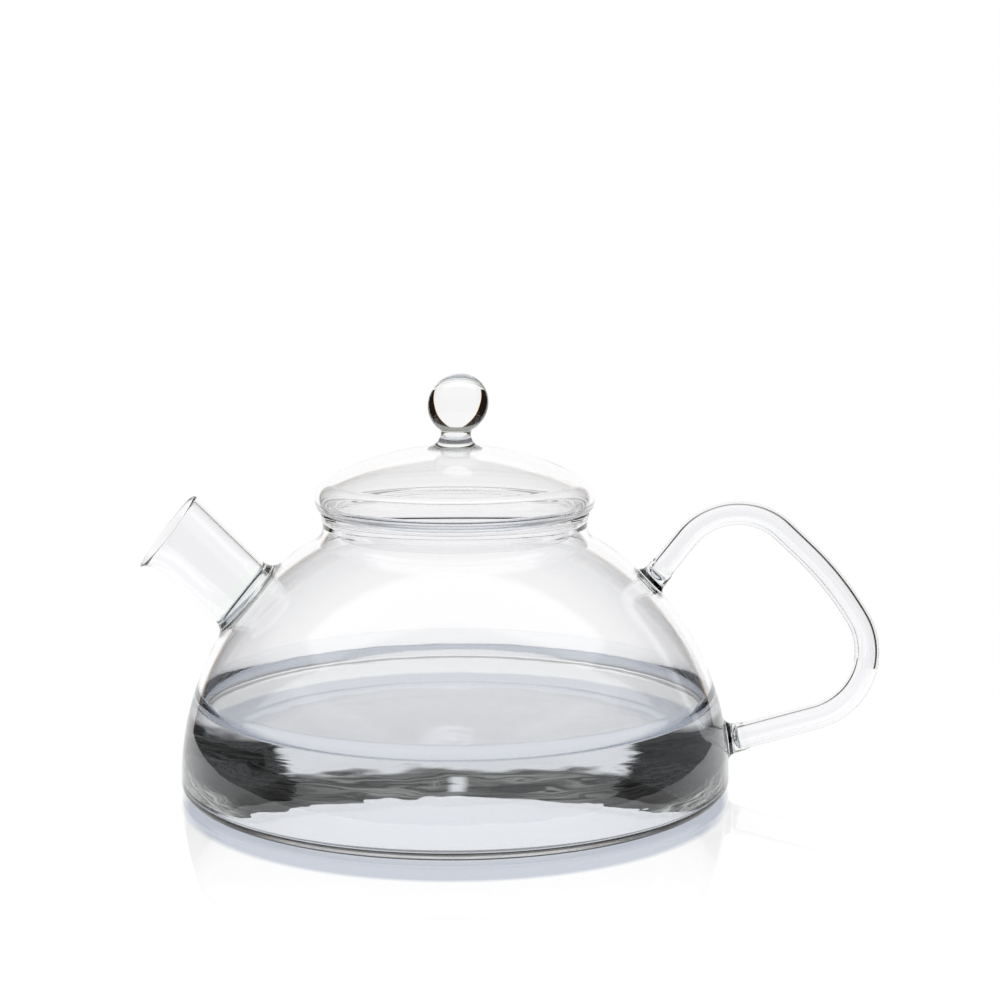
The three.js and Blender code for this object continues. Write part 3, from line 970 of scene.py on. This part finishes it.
def build_knob():
    """The neck with its flared foot, and the ball that stands in the neck's cup."""
    cup = -math.acos(KNOB_CUP / BALL)
    cup_edge = (KNOB_CUP, BALL_CENTRE + BALL * math.sin(cup))
    ball_centre = (0, BALL_CENTRE)
    flare = arc(flare_centre, KNOB_FLARE, foot_end - math.pi, -math.pi, EDGE_STEP)
    side = joined(flare, bridge(flare[-1, :2], (0, 1), cup_edge, CUP_WAY))
    skin = Skin()
    skin.strip(leaning(arc(lid_centre, LID_DOME, math.pi / 2, foot_end)), fused)
    skin.strip(leaning(side), solid)
    skin.strip(leaning(arc(ball_centre, BALL, cup, -math.pi / 2)), fused)
    skin.build("knob_neck_glass", "lid", ["knob_neck"], [solid, fused])
    skin = Skin()
    skin.strip(leaning(arc(ball_centre, BALL, -math.pi / 2, cup, CORNER_STEP)), fused)
    skin.strip(leaning(arc(ball_centre, BALL, cup, math.pi / 2, CORNER_STEP)), solid)
    skin.build("knob_ball_glass", "lid", ["knob_ball"], [solid, fused])


build_bowl()
build_water()
build_spout()
build_handle()
build_lid_shell()
build_skirt()
build_knob()

# ---- Stage, light and camera ----

CAMERA_LENS = 79.2
CAMERA_SENSOR = 36
CAMERA_PLACE = Vector((15.5 * MM, -750.1 * MM, 213.8 * MM))
CAMERA_PITCH = math.radians(8.71)
MOST_SURFACES = 32

# The studio's measures are in degrees, and a pair is where something starts and where it is full.
SWEEP_HALF_WIDTH = 33.0
SWEEP_WIDER_BELOW = 0.5
SWEEP_NARROWER_ABOVE = 0.33
SWEEP_ARCH = 0.012
SWEEP_SHIFT = 1.5
SWEEP_SOFTNESS = 0.6
EDGE_SPREAD = 0.35  # red ends this much later than green, and blue this much sooner
FLAG_LIGHT = (0.014, 0.010, 0.008)
SIDE_IN = (92.0, 98.0)
SIDE_OUT = (155.0, 145.0)
OUTSIDE_OUT = (155.0, 140.0)
SIDE_RISE = (22.0, 34.0)
SIDE_LIGHT = 0.9
DEEP_LIGHT = 0.8
CEILING_RISE = (29.5, 32.5)
CEILING_LIGHT = (0.33, 0.34, 0.31)
# The card is painted shade: a dark patch of the world that only light through the water meets, so it darkens
# the water alone.
PAINTED_SHADE_SHIFT = -1.3
PAINTED_SHADE_LOW = (6.2, 7.2)
PAINTED_SHADE_HIGH = (20.0, 19.0)
PAINTED_SHADE_TONES = (0.015, 0.28)
RAGGED = 8.0  # the most that a streak moves an edge of the painted shade's card
STREAK_LENGTH = 14.0
STREAK_HEIGHT = 0.22
STREAK_DETAIL = 2
STRIPES = (0.42, 0.62)  # of the streaks' noise
GAP_ARCH = 0.004
GAP_SLANT = 0.8
GAP_RISE = (16.4, 16.8)
GAP_ACROSS = (9.5, 8.0)
GAP_LIGHT = 0.85
SPOT_ACROSS = (0.9, 0.3)
SPOT_LOW = (14.8, 15.0)
SPOT_HIGH = (15.6, 15.4)
LOBE_ACROSS = (15.0, 22.0)
LOBE_RISE = (7.5, 9.0)
LOBE_TONES = (0.008, 0.05)
LOBE_DEPTH_ACROSS = (17.0, 21.0)
END_AZIMUTH = (22.0, 27.0)
END_RISE = (11.5, 10.5)
END_TONES = (0.05, 0.6)

# The overhead strip's measures are shares of its height above the pot.
STRIP_NEAR = (0.3, 0.22)
STRIP_WIDE = (1.3, 1.15)
STRIP_LIGHT = 0.9
LEAST_HEIGHT = 0.05

# Surfaces that the light has met. Each limit is half a surface low, so that whole counts are clear of it.
A_SURFACE = 0.5
DEEP = 3.5
PAINTED_SHADE_DEPTH = 5.5
LONG_PATH = 11.5
LONG_PATH_LIGHT = 0.3


def long_path_share(w):
    """The share of light left after a long way through the glass and water."""
    return w.blend(w.above(w.path("Ray Depth"), LONG_PATH), 1.0, LONG_PATH_LIGHT)


def light_direction(w):
    """Right, up and ahead parts of the way the light goes, seen from the photo's camera but level."""
    right, camera_y, camera_z = w.place("Camera")
    up = w.place("Generated")[2]
    cos, sin = math.cos(CAMERA_PITCH), math.sin(CAMERA_PITCH)
    sign = w.math("SIGN", w.plus(w.times(camera_y, sin), w.times(camera_z, cos)))
    left_over = w.minus(w.minus(1.0, w.times(right, right)), w.times(up, up))
    return right, up, w.times(sign, w.math("SQRT", w.largest(left_over, 0.0)))


def beyond_sweep(w, azimuth, rise):
    """Degrees past the edge of the white sweep, which widens towards the floor and arches in above."""
    wider = w.times(w.math("MINIMUM", rise, 0.0), -SWEEP_WIDER_BELOW)
    up = w.largest(rise, 0.0)
    narrower = w.times(up, w.plus(w.times(up, SWEEP_ARCH), SWEEP_NARROWER_ABOVE))
    return w.minus(azimuth, w.minus(w.plus(SWEEP_HALF_WIDTH, wider), narrower))


def side_light(w, azimuth, rise, depth):
    """High light beyond the flags, more of it for reflections off the outside, and a glow for deep paths."""
    beyond_flags = w.times(w.ramp(azimuth, *SIDE_IN), w.ramp(azimuth, *SIDE_OUT))
    outside = w.times(w.below(depth, A_SURFACE), w.ramp(azimuth, *OUTSIDE_OUT))
    high = w.times(w.largest(beyond_flags, outside), w.ramp(rise, *SIDE_RISE))
    return w.largest(w.times(high, SIDE_LIGHT), w.times(w.above(depth, DEEP), DEEP_LIGHT))


def streaks(w, turn, rise):
    """Long flat streaks of noise, round the camera's level circle."""
    spot = w.nodes.new("ShaderNodeCombineXYZ")
    w.feed(spot.inputs[0], w.math("DIVIDE", turn, STREAK_LENGTH))
    w.feed(spot.inputs[1], w.math("DIVIDE", rise, STREAK_HEIGHT))
    return w.noise(spot.outputs[0], 1, STREAK_DETAIL)


def painted_shade_share(w, across, ragged, rise, depth):
    """Where the painted shade is: a dark card ahead and low, with a lighter gap and spot in it, seen only
    through the water.
    """
    gap_edge = w.minus(ragged, w.times(rise, GAP_SLANT))
    gap_top = w.plus(rise, w.times(across, across, GAP_ARCH))
    gap = w.times(w.ramp(gap_top, *GAP_RISE), w.ramp(gap_edge, *GAP_ACROSS))
    spot = w.times(w.ramp(across, *SPOT_ACROSS), w.ramp(rise, *SPOT_LOW), w.ramp(rise, *SPOT_HIGH))
    closed = w.minus(1.0, w.times(w.largest(gap, spot), GAP_LIGHT))
    deep_enough = w.above(depth, w.blend(w.ramp(ragged, *LOBE_DEPTH_ACROSS), PAINTED_SHADE_DEPTH, DEEP))
    through_water = w.above(w.path("Transparent Depth"), A_SURFACE)
    return w.times(w.ramp(rise, *PAINTED_SHADE_LOW), w.ramp(rise, *PAINTED_SHADE_HIGH), closed, deep_enough, through_water)


def painted_shade_streaks(w, azimuth, ragged, rise, streak):
    """The painted shade's streaks: darker in its side lobes, lighter low down at its ends."""
    striped = w.ramp(streak, *STRIPES)
    lobe = w.times(w.ramp(ragged, *LOBE_ACROSS), w.ramp(rise, *LOBE_RISE))
    end = w.times(w.ramp(azimuth, *END_AZIMUTH), w.ramp(rise, *END_RISE))
    light = w.blend(lobe, w.blend(striped, *PAINTED_SHADE_TONES), w.blend(striped, *LOBE_TONES))
    return w.blend(end, light, w.blend(striped, *END_TONES))


def overhead_strip(w, right, up, ahead):
    height = w.largest(up, LEAST_HEIGHT)
    near = w.ramp(w.size(w.math("DIVIDE", ahead, height)), *STRIP_NEAR)
    wide = w.ramp(w.size(w.math("DIVIDE", right, height)), *STRIP_WIDE)
    return w.times(near, wide, STRIP_LIGHT)


def build_world():
    """A white sweep ahead of the camera between dark flags, side light beyond them, a strip overhead, and a
    dark card of painted shade that only light through the water meets.
    """
    world = bpy.data.worlds.new("studio")
    bpy.context.scene.world = world
    world.use_nodes = True
    world.node_tree.nodes.clear()
    w = Wiring(world.node_tree)
    right, up, ahead = light_direction(w)
    turn = w.times(w.math("ARCTAN2", right, ahead), math.degrees(1))
    rise = w.times(w.math("ARCSINE", up), math.degrees(1))
    azimuth = w.size(w.minus(turn, SWEEP_SHIFT))
    across = w.size(w.minus(turn, PAINTED_SHADE_SHIFT))
    depth = w.path("Transmission Depth")
    streak = streaks(w, turn, rise)
    ragged = w.plus(across, w.times(streak, RAGGED))

    beyond = beyond_sweep(w, azimuth, rise)
    ceiling = w.times(w.ramp(rise, *CEILING_RISE), w.below(depth, DEEP))
    side = side_light(w, azimuth, rise, depth)
    # Painted shade in the water, from the dark card.
    painted_shade = painted_shade_share(w, across, ragged, rise, depth)
    painted_shade_tone = painted_shade_streaks(w, azimuth, ragged, rise, streak)
    strip = overhead_strip(w, right, up, ahead)
    share = long_path_share(w)
    channels = []
    for shift, flag, roof in zip((EDGE_SPREAD, 0.0, -EDGE_SPREAD), FLAG_LIGHT, CEILING_LIGHT):
        sweep = w.ramp(beyond, shift + SWEEP_SOFTNESS, shift - SWEEP_SOFTNESS)
        sweep = w.times(sweep, w.minus(1.0, ceiling))
        unlit = w.blend(ceiling, w.plus(side, flag), roof)
        tinted_painted_shade = w.times(painted_shade_tone, roof / CEILING_LIGHT[1])
        light = w.blend(painted_shade, w.blend(sweep, unlit, 1.0), tinted_painted_shade)
        channels.append(w.times(w.plus(strip, light), share))
    background = w.nodes.new("ShaderNodeBackground")
    w.feed(background.inputs["Color"], w.colour(channels))
    w.finish(background.outputs[0], "World")


FLOOR_SIZE = 260 * MM
SHEET_DEPTH = 6.2 * MM
FACE_DEPTH = 0.1 * MM
SHEET_LIGHT = 1.05
# The pot's shade is painted on the sheet, not cast: a darker ring round the foot and a lighter shade under
# the middle.
SHADE_EDGE = (DOME + 0.5 * MM, DOME - 2.5 * MM)
SHADE_MIDDLE = (80 * MM, 68 * MM)
SHADOW = (0.60, 0.64, 0.72)
LIGHTER_SHADE_UNDER_POT = (0.91, 0.93, 0.97)
MIRROR = 0.22
MIRROR_END = 175 * MM
MIRROR_ROUGHNESS = 0.03


def disc(name, radius, height, material):
    turn = np.linspace(0, 2 * math.pi, 128, endpoint=False)
    ring = [(radius * math.cos(a), radius * math.sin(a), height) for a in turn]
    mesh = bpy.data.meshes.new(name)
    mesh.from_pydata(ring, [], [list(range(len(ring)))])
    mesh.materials.append(material)
    piece = bpy.data.objects.new(name, mesh)
    bpy.context.scene.collection.objects.link(piece)


def floor_distance(w):
    """Distance from the pot's middle, on the floor."""
    x, y, _ = w.place("Object")
    return w.math("SQRT", w.plus(w.times(x, x), w.times(y, y)))


def build_floor_sheet():
    """A glowing white sheet with the pot's soft shade painted on it: a painted shadow ring round the foot,
    and a lighter painted shade under the middle where light through the base falls.
    """
    sheet, w = new_material("white_sheet")
    distance = floor_distance(w)
    shade = w.ramp(distance, *SHADE_EDGE)
    middle = w.ramp(distance, *SHADE_MIDDLE)
    share = long_path_share(w)
    channels = []
    for ring, under in zip(SHADOW, LIGHTER_SHADE_UNDER_POT):
        channels.append(w.times(w.blend(shade, SHEET_LIGHT, w.blend(middle, ring, under)), share))
    w.finish(w.emission(w.colour(channels)))
    disc("floor_sheet", FLOOR_SIZE, -SHEET_DEPTH, sheet)


def build_floor_face():
    """A clear face just under the pot that mirrors it faintly."""
    face, w = new_material("clear_face")
    gloss = w.nodes.new("ShaderNodeBsdfGlossy")
    gloss.inputs["Roughness"].default_value = MIRROR_ROUGHNESS
    clear_part = w.nodes.new("ShaderNodeBsdfTransparent").outputs[0]
    fade = w.ramp(floor_distance(w), MIRROR_END, DOME)
    w.finish(w.mix(w.times(fade, MIRROR), clear_part, gloss.outputs[0]))
    disc("floor_face", FLOOR_SIZE, -FACE_DEPTH, face)


def build_camera():
    data = bpy.data.cameras.new("camera")
    data.lens = CAMERA_LENS
    data.sensor_width = CAMERA_SENSOR
    camera = bpy.data.objects.new("camera", data)
    camera.location = CAMERA_PLACE
    camera.rotation_euler = (math.pi / 2 - CAMERA_PITCH, 0, 0)
    bpy.context.scene.collection.objects.link(camera)
    bpy.context.scene.camera = camera


def set_light_paths():
    scene = bpy.context.scene
    scene.view_settings.view_transform = "Standard"
    scene.cycles.max_bounces = MOST_SURFACES
    scene.cycles.transmission_bounces = MOST_SURFACES
    scene.cycles.transparent_max_bounces = MOST_SURFACES
    scene.cycles.glossy_bounces = MOST_SURFACES // 2
    scene.cycles.use_denoising = True


build_world()
build_floor_sheet()
build_floor_face()
build_camera()
set_light_paths()
